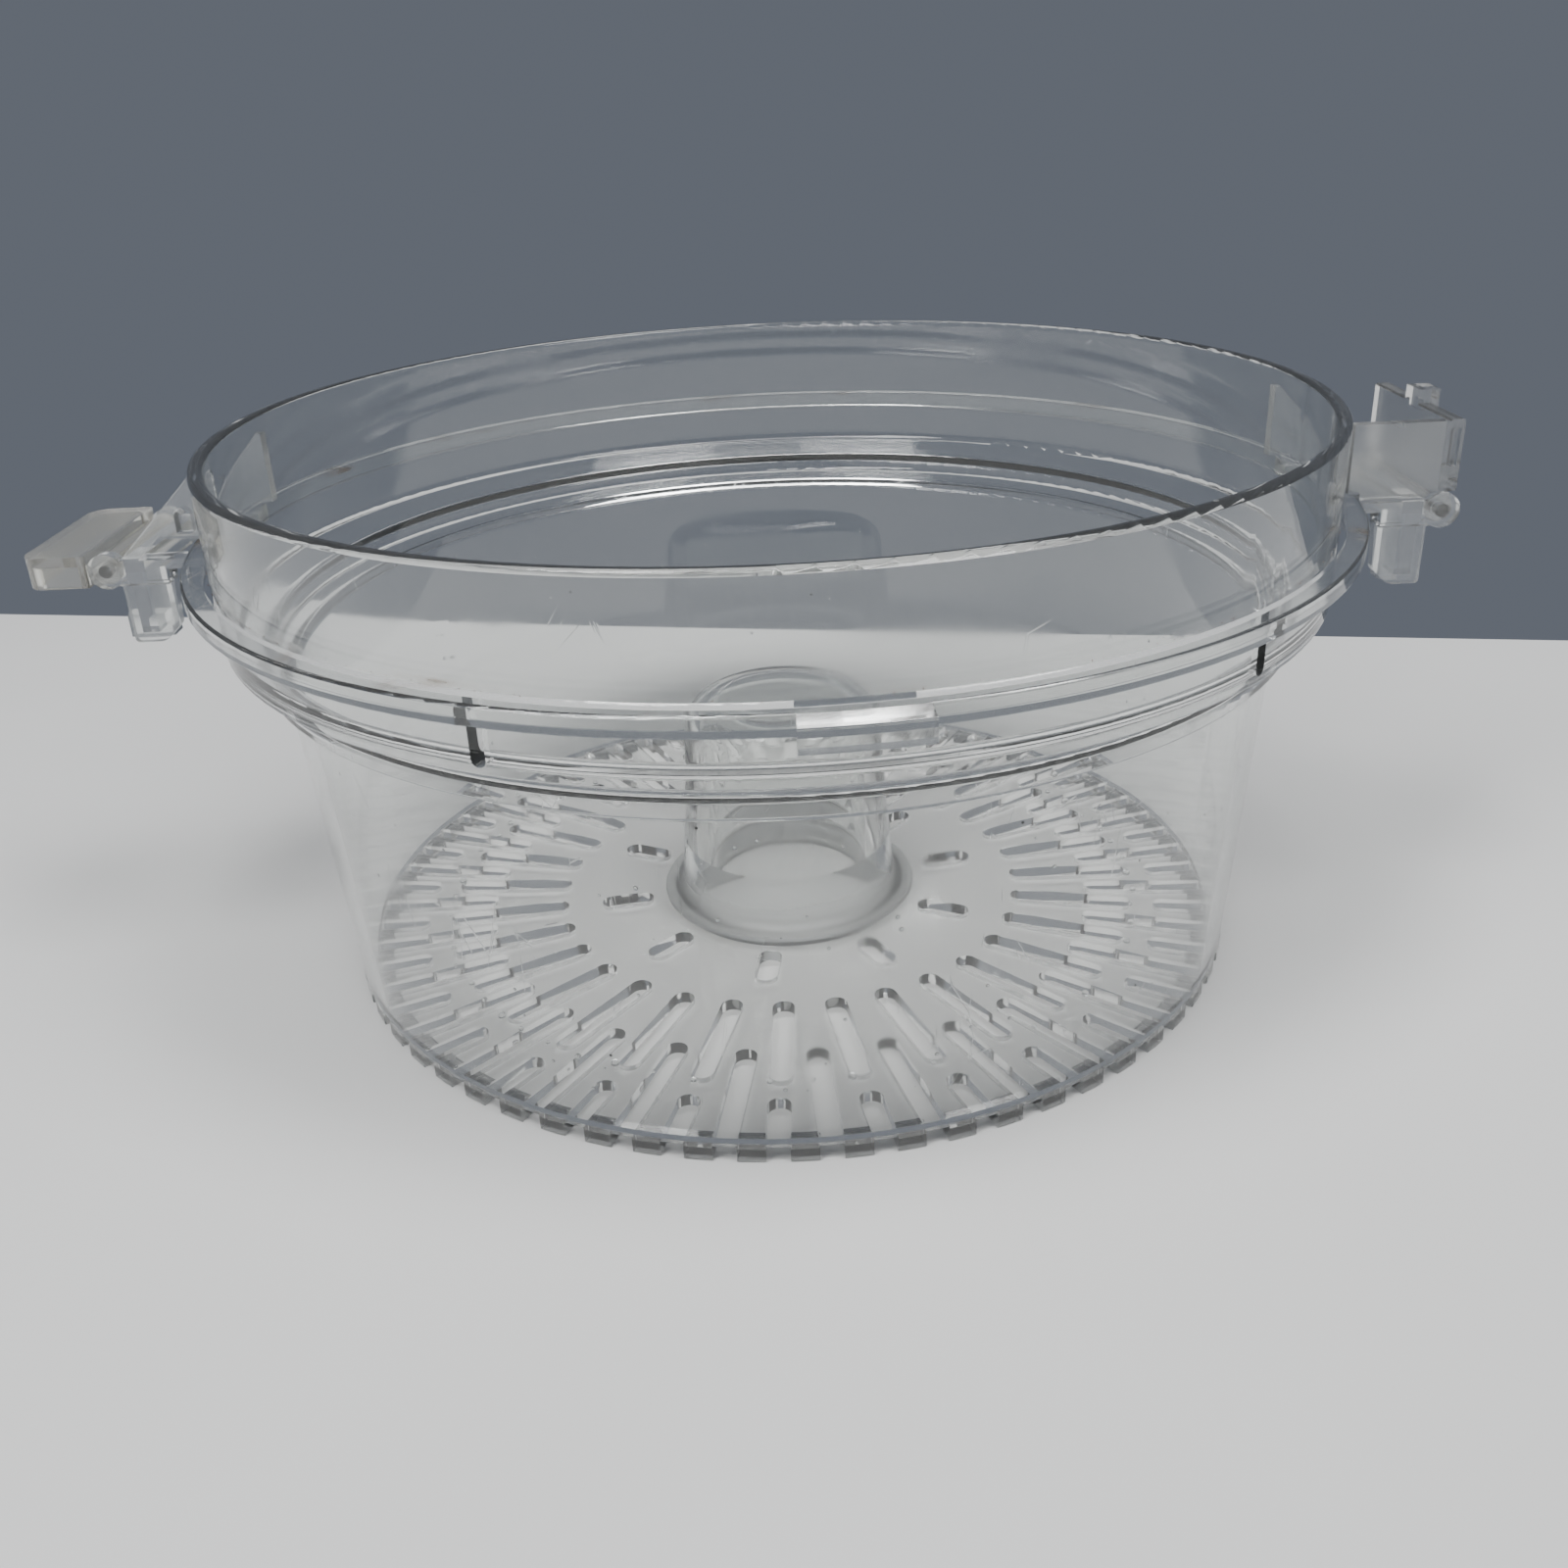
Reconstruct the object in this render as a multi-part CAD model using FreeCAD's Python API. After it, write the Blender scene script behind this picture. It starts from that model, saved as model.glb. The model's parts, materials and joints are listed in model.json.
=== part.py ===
import FreeCAD, Part

import math
import os

# Salad spinner bowl: clear moulded bowl with a slotted floor, a hollow centre
# column and a hinged lid clip on each side.  Millimetres, +Z up, the origin on
# the bowl axis at table level.  The clips sit on the X axis; -Y is the front.

# ---- bowl wall -------------------------------------------------------------
RIM_RADIUS = 105.0
HEIGHT = 106.0
WALL = 2.6
SKIRT_RADIUS = RIM_RADIUS - 0.3
SKIRT_TOP = 84.4
SKIRT_BOTTOM = SKIRT_TOP - 9.7
SHOULDER_DROP = 3.0
STEP_RADIUS = RIM_RADIUS - 5.7
STEP_BOTTOM = SKIRT_BOTTOM - 7.2
STEP_DROP = 1.5
BODY_TOP_RADIUS = STEP_RADIUS - 3.3
BODY_FOOT_RADIUS = 91.6
RIM_ROUND = 1.0
CORNER_ROUND = 0.9
SLIT_ANGLES = (-114.3, -45.3)
SLIT_WIDTH = 2.5
SLIT_DROP = 8.6             # below the top of the skirt
SLIT_RISE = 2.2             # above it, behind the lip

# ---- foot and floor ----------------------------------------------------------
FOOT_HEIGHT = 3.8
SEAT = 0.05                 # gap left where two mouldings are joined
FLOOR_THICKNESS = 2.3
FOOT_LEDGE = 3.2            # how far the foot ring reaches in under the floor
SLOT_COUNT = 32
SLOT_WIDTH = 4.2
SLOT_PHASE = -92.47
FLOOR_RADIUS = BODY_FOOT_RADIUS - WALL - SEAT
RING_B = (48.2, FLOOR_RADIUS - 15.75)
RING_C_START = FLOOR_RADIUS - 25.25
RING_D_START = FLOOR_RADIUS - 11.05
HUB_SLOT_COUNT = 10
HUB_SLOT = (30.0, 41.0)
HUB_SLOT_WIDTH = 4.5
HUB_SLOT_PHASE = -98.0
DRAIN_WIDTH = 4.1
DRAIN_BAND = 0.6            # thickness left over each drain

# ---- centre column -----------------------------------------------------------
COLUMN_HEIGHT = 47.5
COLUMN_TOP_RADIUS = 20.0
COLUMN_FOOT_RADIUS = COLUMN_TOP_RADIUS + 3
COLUMN_FLANGE_RADIUS = COLUMN_FOOT_RADIUS + 4
COLUMN_FLANGE = 0.8
COLUMN_FLARE = 3.5
COLUMN_SPIGOT_RADIUS = COLUMN_FOOT_RADIUS + 1.4
COLUMN_CROWN = 2.4
COLUMN_DOME = 7.0
BORE_RADIUS = 17.4
BORE_START = 14.0
MOUTH_RADIUS = COLUMN_FOOT_RADIUS - 2

# ---- flange ring -------------------------------------------------------------
LIP_RADIUS = RIM_RADIUS + 4.7
LIP_TOP = SKIRT_TOP + 3.4
LIP_FIT = 0.08
GAP_WIDTH = 1.2             # widest part of the side gap between collar and lip
LEFT_GAP_END = 67.0         # angle from the -X axis at which the left gap closes
RIGHT_GAP_END = 86.0        # angle from the +X axis at which the right gap closes
LUG_RADIUS = LIP_RADIUS + 2.7
LUG_BOTTOM = SKIRT_TOP - 1.4
LUG_START = -89.1
LUG_SPAN = 9.4
LUG_BEVEL = 1.0

# ---- hinges ------------------------------------------------------------------
PIN_X = LIP_RADIUS + 14.6
PIN_Z = SKIRT_TOP - 0.1
PIN_RADIUS = 1.25
PIN_HOLD = 0.03
PIN_RUN = 0.08
PLAY = 0.3                  # gap between parts that pass each other
EAR_RADIUS = 3.3
EAR_WIDTH = 2.8
BARREL_RADIUS = 2.6

# ---- clip brackets -------------------------------------------------------------
BRACKET_HALF = 18.0
ARM_WIDTH = 5.0
ARM_BOTTOM = PIN_Z - 2.8
ARM_TOP = PIN_Z + 1.9
ARM_RELIEF = LIP_RADIUS + 3.3          # the arm is thin between the lip and this distance
ARM_THIN = 1.8
BAR_WIDTH = 3.2
GUSSET = 2.4
GUSSET_TOP = ARM_TOP + 15.6
GUSSET_END = PIN_X - EAR_RADIUS
WINDOW_X = (RIM_RADIUS + 1.4, RIM_RADIUS + 4.5)
WINDOW_Z = (ARM_TOP + 4.7, ARM_TOP + 9.5)
ARCH_END = GUSSET_END - 3.1
ARCH_CROWN = (GUSSET_END - 7.2, ARM_TOP + 4.0)
ARCH_SPRING = ARM_TOP + 3.4

# ---- clips ---------------------------------------------------------------------
CLIP_TOP = PIN_Z + 16.8
CLIP_OUT = 2.0              # from the pin to the outer face of the plate
CLIP_PLATE = 2.8
CHEEK = 2.4
CHEEK_INNER = RIM_RADIUS + 1.3
CHEEK_TOP = CLIP_TOP - 0.3
CATCH = (6.0, 4.0, 2.5)     # along the edge, through the plate, above the edge
RECESS_DEPTH = 1.2
RECESS_X = 1.5
RECESS_Z = (CLIP_TOP - 8.6, CLIP_TOP - 1.7)
TRAY_OUT = 2.9
TRAY_DEPTH = 6.0
TRAY_BASE = 2.2
TRAY_RIM = 1.8
TRAY_END = 15.7
TRAY_ROUND = 4.0

# ---- tabs under the brackets -----------------------------------------------------
TAB_BOTTOM = ARM_BOTTOM - 11.8
TAB_X = (PIN_X - 11.5, PIN_X - 1.7)
TAB_Y = (-16.0, -4.0)
TAB_WALL = 2.0
TAB_FOOT = (TAB_BOTTOM - 1.5, TAB_BOTTOM + 3.1)
RIGHT_TAB_REACH = PIN_X - 2.8
LEFT_TAB_REACH = PIN_X + 2.4

V = FreeCAD.Vector
UP = V(0, 0, 1)
ORIGIN = V(0, 0, 0)


def outline(corners, place):
    """Closed wire through corners (a, b, fillet radius), placed in space by place(a, b)."""
    edges = []
    starts = []
    ends = []
    middles = []
    count = len(corners)
    for i in range(count):
        a, b, radius = corners[i]
        here = V(a, b, 0)
        back = V(corners[i - 1][0], corners[i - 1][1], 0) - here
        ahead = V(corners[(i + 1) % count][0], corners[(i + 1) % count][1], 0) - here
        back.normalize()
        ahead.normalize()
        if radius <= 0:
            starts.append(here)
            ends.append(here)
            middles.append(None)
            continue
        half = back.getAngle(ahead) / 2
        reach = radius / math.tan(half)
        bisector = back + ahead
        bisector.normalize()
        starts.append(here + back * reach)
        ends.append(here + ahead * reach)
        middles.append(here + bisector * (radius / math.sin(half) - radius))
    for i in range(count):
        if middles[i] is not None:
            points = [place(p.x, p.y) for p in (starts[i], middles[i], ends[i])]
            edges.append(Part.Arc(*points).toShape())
        follow = starts[(i + 1) % count]
        if (follow - ends[i]).Length > 1e-6:
            first = place(ends[i].x, ends[i].y)
            last = place(follow.x, follow.y)
            edges.append(Part.makeLine(first, last))
    return Part.Wire(edges)


def turned(corners, start=0.0, sweep=360.0):
    """Solid of revolution about Z from (radius, height, fillet) corners."""
    face = Part.Face(outline(corners, lambda r, z: V(r, 0, z)))
    solid = face.revolve(ORIGIN, UP, sweep)
    solid.rotate(ORIGIN, UP, start)
    return solid


def plate(corners, y_low, y_high):
    """Flat plate from (x, z, fillet) corners, standing between two Y values."""
    face = Part.Face(outline(corners, lambda x, z: V(x, y_low, z)))
    return face.extrude(V(0, y_high - y_low, 0))


def box(x_span, y_span, z_span):
    """Box from three (low, high) spans."""
    size = [span[1] - span[0] for span in (x_span, y_span, z_span)]
    return Part.makeBox(*size, V(x_span[0], y_span[0], z_span[0]))


def rod(radius, y_low, y_high, x=PIN_X, z=PIN_Z):
    """Cylinder along Y."""
    return Part.makeCylinder(radius, y_high - y_low, V(x, y_low, z), V(0, 1, 0))


def to_left(shape):
    """The same piece on the other side of the bowl."""
    return shape.mirror(ORIGIN, V(1, 0, 0))


def at_angle(shape, degrees):
    """Copy of a cutter drawn along +X, turned about the bowl axis."""
    copy = shape.copy()
    copy.rotate(ORIGIN, UP, degrees)
    return copy


def slit_cutter():
    """Narrow upright slit through the skirt and the collar above it, round at both ends."""
    half = SLIT_WIDTH / 2
    span = (SKIRT_TOP - SLIT_DROP + half, SKIRT_TOP + SLIT_RISE - half)
    reach = (SKIRT_RADIUS - WALL - 1, SKIRT_RADIUS + 2)
    slit = box(reach, (-half, half), span)
    ends = [Part.makeCylinder(half, reach[1] - reach[0], V(reach[0], 0, z), V(1, 0, 0)) for z in span]
    return slit.fuse(ends)


def bowl_wall():
    """Collar, two sloping steps and the tapered body, with the slits of the skirt."""
    c = CORNER_ROUND
    foot = FOOT_HEIGHT + SEAT
    collar = RIM_RADIUS - WALL
    step = STEP_RADIUS - WALL
    body = BODY_TOP_RADIUS - WALL
    wall = turned([
        (RIM_RADIUS, HEIGHT, RIM_ROUND),
        (collar, HEIGHT, RIM_ROUND),
        (collar, SKIRT_BOTTOM + WALL, 2 * c),
        (step, SKIRT_BOTTOM - SHOULDER_DROP + WALL, c),
        (step, STEP_BOTTOM + WALL, c),
        (body, STEP_BOTTOM - STEP_DROP + WALL, c),
        (BODY_FOOT_RADIUS - WALL, foot, 0),
        (BODY_FOOT_RADIUS, foot, 0),
        (BODY_TOP_RADIUS, STEP_BOTTOM - STEP_DROP, c),
        (STEP_RADIUS, STEP_BOTTOM, c / 2),
        (STEP_RADIUS, SKIRT_BOTTOM - SHOULDER_DROP, c),
        (SKIRT_RADIUS, SKIRT_BOTTOM, c / 2),
        (SKIRT_RADIUS, SKIRT_TOP, 0),
        (RIM_RADIUS, SKIRT_TOP, 0),
    ])
    return wall.cut([at_angle(slit_cutter(), a) for a in SLIT_ANGLES])


def foot_ring():
    """Ring the bowl stands on, with a drain at every floor slot."""
    ledge_top = FOOT_HEIGHT - FLOOR_THICKNESS - SEAT
    seat_radius = BODY_FOOT_RADIUS - WALL
    ring = turned([
        (BODY_FOOT_RADIUS, 0, 0.4),
        (BODY_FOOT_RADIUS, FOOT_HEIGHT, 0),
        (seat_radius, FOOT_HEIGHT, 0),
        (seat_radius, ledge_top, 0),
        (seat_radius - FOOT_LEDGE, ledge_top, 0),
        (seat_radius - FOOT_LEDGE, 0, 0),
    ])
    half = DRAIN_WIDTH / 2
    inside = seat_radius - FOOT_LEDGE - 1
    under = box((inside, BODY_FOOT_RADIUS + 1), (-half, half), (-1, FOOT_HEIGHT - DRAIN_BAND))
    drain = under.fuse(box((inside, seat_radius), (-half, half), (-1, FOOT_HEIGHT)))
    step = 180.0 / SLOT_COUNT
    return ring.cut([at_angle(drain, SLOT_PHASE + i * step) for i in range(2 * SLOT_COUNT)])


def radial_slot(start, stop, width, depth, open_end=False):
    """Cutter for one radial slot with a round inner end and a round or open outer end."""
    half = width / 2
    tail = stop if open_end else stop - half
    body = box((start + half, tail), (-half, half), (-depth, depth))
    ends = [Part.makeCylinder(half, 2 * depth, V(start + half, 0, -depth))]
    if not open_end:
        ends.append(Part.makeCylinder(half, 2 * depth, V(stop - half, 0, -depth)))
    return body.fuse(ends)


def floor_grid():
    """Floor disc pierced by the hub slots and three overlapping rings of radial slots."""
    radius = FLOOR_RADIUS
    hole = COLUMN_SPIGOT_RADIUS + SEAT
    low = FOOT_HEIGHT - FLOOR_THICKNESS
    disc = turned([(hole, low, 0), (radius, low, 0), (radius, FOOT_HEIGHT, 0.3), (hole, FOOT_HEIGHT, 0.3)])
    deep = 10.0
    ring_b = radial_slot(RING_B[0], RING_B[1], SLOT_WIDTH, deep)
    ring_c = radial_slot(RING_C_START, radius + 5, SLOT_WIDTH, deep, True)
    ring_d = radial_slot(RING_D_START, radius + 5, SLOT_WIDTH, deep, True)
    hub = radial_slot(HUB_SLOT[0], HUB_SLOT[1], HUB_SLOT_WIDTH, deep)
    step = 360.0 / SLOT_COUNT
    cutters = []
    for i in range(SLOT_COUNT):
        angle = SLOT_PHASE + i * step
        cutters.append(at_angle(ring_b, angle))
        cutters.append(at_angle(ring_d, angle))
        cutters.append(at_angle(ring_c, angle + step / 2))
    for i in range(HUB_SLOT_COUNT):
        cutters.append(at_angle(hub, HUB_SLOT_PHASE + i * 360.0 / HUB_SLOT_COUNT))
    return disc.cut(cutters)


def centre_column():
    """Hollow column, closed and rounded on top, with a straight bore and a flared mouth."""
    sit = FOOT_HEIGHT + SEAT
    flare = sit + COLUMN_FLANGE
    crown = COLUMN_HEIGHT - COLUMN_CROWN
    return turned([
        (0, COLUMN_HEIGHT, 0),
        (0, crown, 0),
        (BORE_RADIUS, crown, COLUMN_DOME - COLUMN_CROWN),
        (BORE_RADIUS, BORE_START, 0),
        (MOUTH_RADIUS, 0, 0),
        (COLUMN_SPIGOT_RADIUS, 0, 0),
        (COLUMN_SPIGOT_RADIUS, sit, 0),
        (COLUMN_FLANGE_RADIUS, sit, 0),
        (COLUMN_FLANGE_RADIUS, flare, 0.3),
        (COLUMN_FOOT_RADIUS, flare, COLUMN_FLARE),
        (COLUMN_TOP_RADIUS, COLUMN_HEIGHT, COLUMN_DOME),
    ])


def gap_cutter(close_angle, side):
    """Offset cylinder whose overlap with the lip is a crescent that closes at close_angle."""
    bore = RIM_RADIUS + LIP_FIT
    shift = GAP_WIDTH / (1 - math.cos(math.radians(close_angle)))
    radius = bore + GAP_WIDTH - shift
    low = LUG_BOTTOM - 1
    return Part.makeCylinder(radius, LIP_TOP - low + 1, V(side * shift, 0, low))


def flange_ring():
    """Lip around the collar with its front lug and two side gaps."""
    bore = RIM_RADIUS + LIP_FIT
    ring = turned([
        (bore, SKIRT_TOP, 0), (LIP_RADIUS, SKIRT_TOP, 0.3),
        (LIP_RADIUS, LIP_TOP, 0.5), (bore, LIP_TOP, 0),
    ])
    lug = turned([
        (LIP_RADIUS - 1, LUG_BOTTOM, 0), (LUG_RADIUS, LUG_BOTTOM, 0.2),
        (LUG_RADIUS, LIP_TOP - LUG_BEVEL, 0.2), (LIP_RADIUS, LIP_TOP, 0),
        (LIP_RADIUS - 1, LIP_TOP, 0),
    ], LUG_START, LUG_SPAN)
    return ring.fuse(lug).cut([gap_cutter(LEFT_GAP_END, -1), gap_cutter(RIGHT_GAP_END, 1)])


def bar_span():
    """Inner and outer face of the cross bar, which stands clear of the clip's barrel."""
    outer = PIN_X - BARREL_RADIUS - PLAY
    return (outer - BAR_WIDTH, outer)


def ear(y_low, y_high):
    """Bracket ear that carries one end of a hinge pin."""
    root = box((bar_span()[0], PIN_X), (y_low, y_high), (ARM_BOTTOM, ARM_TOP))
    return rod(EAR_RADIUS, y_low, y_high).fuse(root)


def gusset_wall(y_low, y_high):
    """Sloping gusset from high on the collar down to the outer end of the arm."""
    inside = RIM_RADIUS - 10
    return plate([
        (inside, ARM_TOP - 1, 0), (GUSSET_END, ARM_TOP - 1, 0), (GUSSET_END, ARM_TOP + 0.3, 0),
        (RIM_RADIUS, GUSSET_TOP, 0), (inside, GUSSET_TOP, 0),
    ], y_low, y_high)


def tab(reach):
    """Tapered tab that hangs under the bracket and ends in a small foot."""
    top = ARM_BOTTOM + 0.5
    inner, outer = TAB_X
    front, back = TAB_Y
    tongue = plate([
        (inner, top, 0), (outer, top, 0), (outer, TAB_BOTTOM, 0.8),
        (inner + 4.0, TAB_BOTTOM, 3.0), (inner + 0.6, TAB_BOTTOM + 3.2, 1.5),
    ], front, front + TAB_WALL)
    bar = bar_span()
    leaf = box(bar, (front, back), (TAB_BOTTOM + 1.5, top))
    foot = box((bar[0], reach), (back - 4, back), TAB_FOOT)
    return tongue.fuse([leaf, foot])


def bracket(reach, front_wall=None):
    """Frame of two arms and a cross bar with its gussets, hinge ears and hanging tab."""
    half = BRACKET_HALF
    bar = bar_span()
    frame = box(bar, (-half, half), (ARM_BOTTOM, ARM_TOP))
    pieces = [gusset_wall(half - GUSSET, half), tab(reach)]
    if front_wall is not None:
        pieces.append(front_wall)
    for side in (-1, 1):
        ys = sorted((side * half, side * (half - ARM_WIDTH)))
        pieces.append(box((ARM_RELIEF, bar[1]), ys, (ARM_BOTTOM, ARM_TOP)))
        pieces.append(box((RIM_RADIUS - 5, ARM_RELIEF), ys, (ARM_TOP - ARM_THIN, ARM_TOP)))
        pieces.append(ear(*sorted((side * half, side * (half - EAR_WIDTH)))))
    collar = Part.makeCylinder(RIM_RADIUS + LIP_FIT, 2 * HEIGHT)
    lip = Part.makeCylinder(LIP_RADIUS + LIP_FIT, LIP_TOP + LIP_FIT)
    hole = rod(PIN_RADIUS + PIN_HOLD, -half - 1, half + 1)
    swing = rod(BARREL_RADIUS + PLAY, EAR_WIDTH - half, half - EAR_WIDTH)
    return frame.fuse(pieces).cut([collar, lip, hole, swing]).removeSplitter()


def right_bracket():
    """Bracket with a gusset at the back only: the clip's cheek closes the front."""
    return bracket(RIGHT_TAB_REACH)


def left_bracket():
    """Bracket whose front gusset has an arch underneath and a small window."""
    y_low = -BRACKET_HALF
    y_high = GUSSET - BRACKET_HALF
    arch = plate([
        (RIM_RADIUS - 12, ARM_TOP, 0), (ARCH_END, ARM_TOP, 0), (*ARCH_CROWN, 2.0),
        (RIM_RADIUS - 12, ARCH_SPRING, 0),
    ], y_low - 1, y_high + 1)
    window = plate([
        (WINDOW_X[0], WINDOW_Z[0], 0.4), (WINDOW_X[1], WINDOW_Z[0], 0.4),
        (WINDOW_X[1], WINDOW_Z[1], 1.4), (WINDOW_X[0], WINDOW_Z[1], 1.4),
    ], y_low - 1, y_high + 1)
    return to_left(bracket(LEFT_TAB_REACH, gusset_wall(y_low, y_high).cut([arch, window])))


def hinge_pin():
    """Plain pin through both ears."""
    return rod(PIN_RADIUS, -BRACKET_HALF, BRACKET_HALF)


def clip_start():
    """Height of a closed clip's lower edge, which clears the ears as it swings."""
    return PIN_Z + EAR_RADIUS + PLAY


def on_barrel(inner, outer, blank):
    """Blank fused to the barrel that turns between the ears, bored for the pin."""
    reach = BRACKET_HALF - EAR_WIDTH - PLAY
    barrel = rod(BARREL_RADIUS, -reach, reach)
    web = box((inner, outer), (-reach, reach), (PIN_Z, clip_start() + 1))
    bore = rod(PIN_RADIUS + PIN_RUN, -BRACKET_HALF, BRACKET_HALF)
    return barrel.fuse([web, blank]).cut(bore).removeSplitter()


def right_clip():
    """Flat clip plate, drawn closed, with a cheek at the front and a catch on the top edge."""
    half = BRACKET_HALF
    outer = PIN_X + CLIP_OUT
    inner = outer - CLIP_PLATE
    slab = plate([
        (inner, clip_start(), 0), (outer, clip_start(), 0.4), (outer, CLIP_TOP, 0.5),
        (inner, CLIP_TOP, 0.5),
    ], -half, half)
    cheek = box((CHEEK_INNER, inner + 1), (-half, CHEEK - half), (ARM_TOP + PLAY, CHEEK_TOP))
    lip = Part.makeCylinder(LIP_RADIUS + PLAY, LIP_TOP + PLAY)
    cheek = cheek.cut([rod(EAR_RADIUS + PLAY, -half - 1, half), lip])
    along, through, above = CATCH
    catch = box((inner, inner + through), (-along / 2, along / 2), (CLIP_TOP - 1.5, CLIP_TOP + above))
    middle = (inner + outer) / 2
    side = RECESS_X / 2
    recess = box((middle - side, middle + side), (-half - 1, RECESS_DEPTH - half), RECESS_Z)
    return on_barrel(inner, outer, slab.fuse([cheek, catch]).cut(recess))


def left_clip():
    """Shallow clip, hollow on its outer face, drawn closed and then swung out flat."""
    outer = PIN_X + TRAY_OUT
    low = clip_start()
    top = PIN_Z + TRAY_END
    half = BRACKET_HALF
    face = outer - TRAY_DEPTH
    rim = TRAY_RIM
    blank = Part.Face(outline([
        (-half, low, 0.6), (half, low, 0.6), (half, top, TRAY_ROUND), (-half, top, TRAY_ROUND),
    ], lambda y, z: V(face, y, z)))
    hollow = Part.Face(outline([
        (rim - half, low + rim, 0.6), (half - rim, low + rim, 0.6),
        (half - rim, top - rim, TRAY_ROUND - rim), (rim - half, top - rim, TRAY_ROUND - rim),
    ], lambda y, z: V(face + TRAY_BASE, y, z)))
    tray = blank.extrude(V(TRAY_DEPTH, 0, 0)).cut(hollow.extrude(V(TRAY_DEPTH, 0, 0)))
    clip = on_barrel(PIN_X - 0.5, outer, tray)
    clip.rotate(V(PIN_X, 0, PIN_Z), V(0, 1, 0), 90)
    return to_left(clip)


PIECES = {
    "bowl_wall": bowl_wall,
    "foot_ring": foot_ring,
    "floor_grid": floor_grid,
    "centre_column": centre_column,
    "flange_ring": flange_ring,
    "right_bracket": right_bracket,
    "left_bracket": left_bracket,
    "right_hinge_pin": hinge_pin,
    "left_hinge_pin": lambda: to_left(hinge_pin()),
    "right_clip": right_clip,
    "left_clip": left_clip,
}


def main():
    """Build every piece and write one STEP file for each."""
    os.makedirs("parts", exist_ok=True)
    for node, make in PIECES.items():
        shape = make()
        size = shape.BoundBox
        spans = [round(v, 1) for v in (size.XMin, size.XMax, size.YMin, size.YMax, size.ZMin, size.ZMax)]
        print(node, len(shape.Solids), "solid", shape.isValid(), round(shape.Volume / 1000, 2), "cm3", spans)
        shape.Solids[0].exportStep("parts/" + node + ".step")


main()
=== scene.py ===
"""Looks of a clear plastic spinner bowl with two hinged lid clips.

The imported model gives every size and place.  This script dresses its nodes, adds the
small things that sit on the plastic, and sets up the studio.
"""

import json
import logging
import math
from dataclasses import dataclass
from enum import Enum

import bpy
from mathutils import Matrix, Vector

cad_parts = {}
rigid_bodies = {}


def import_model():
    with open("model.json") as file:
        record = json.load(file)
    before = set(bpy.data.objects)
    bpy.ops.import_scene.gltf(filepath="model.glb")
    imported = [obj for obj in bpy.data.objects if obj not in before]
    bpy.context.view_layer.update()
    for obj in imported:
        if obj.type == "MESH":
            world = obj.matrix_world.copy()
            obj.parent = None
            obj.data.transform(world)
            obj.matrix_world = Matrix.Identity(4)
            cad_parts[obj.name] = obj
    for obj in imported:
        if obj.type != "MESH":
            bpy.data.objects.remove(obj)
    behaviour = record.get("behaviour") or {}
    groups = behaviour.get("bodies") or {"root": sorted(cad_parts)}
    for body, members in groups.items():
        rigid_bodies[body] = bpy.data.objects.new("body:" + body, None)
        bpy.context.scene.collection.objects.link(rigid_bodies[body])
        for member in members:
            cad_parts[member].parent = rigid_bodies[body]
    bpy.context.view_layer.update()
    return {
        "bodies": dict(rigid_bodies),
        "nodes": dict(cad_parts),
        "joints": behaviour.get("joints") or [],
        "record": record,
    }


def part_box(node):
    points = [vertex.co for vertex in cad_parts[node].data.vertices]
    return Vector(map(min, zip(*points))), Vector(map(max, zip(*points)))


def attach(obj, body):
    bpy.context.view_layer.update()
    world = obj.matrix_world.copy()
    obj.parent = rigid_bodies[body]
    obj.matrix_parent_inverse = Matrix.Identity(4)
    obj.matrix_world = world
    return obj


LOG = logging.getLogger("spinner_bowl")
MM = 0.001
BOWL_BODY = "bowl"
LIGHT_TARGET = (0.0, 0.0, 0.05)


class Side(Enum):
    """Side of the bowl that a clip is on."""

    RIGHT = "right"
    LEFT = "left"


class Speck(Enum):
    """What a scattered speck is made of."""

    RUST = "rust"
    SOOT = "soot"
    DROPLET = "droplet"


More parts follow.
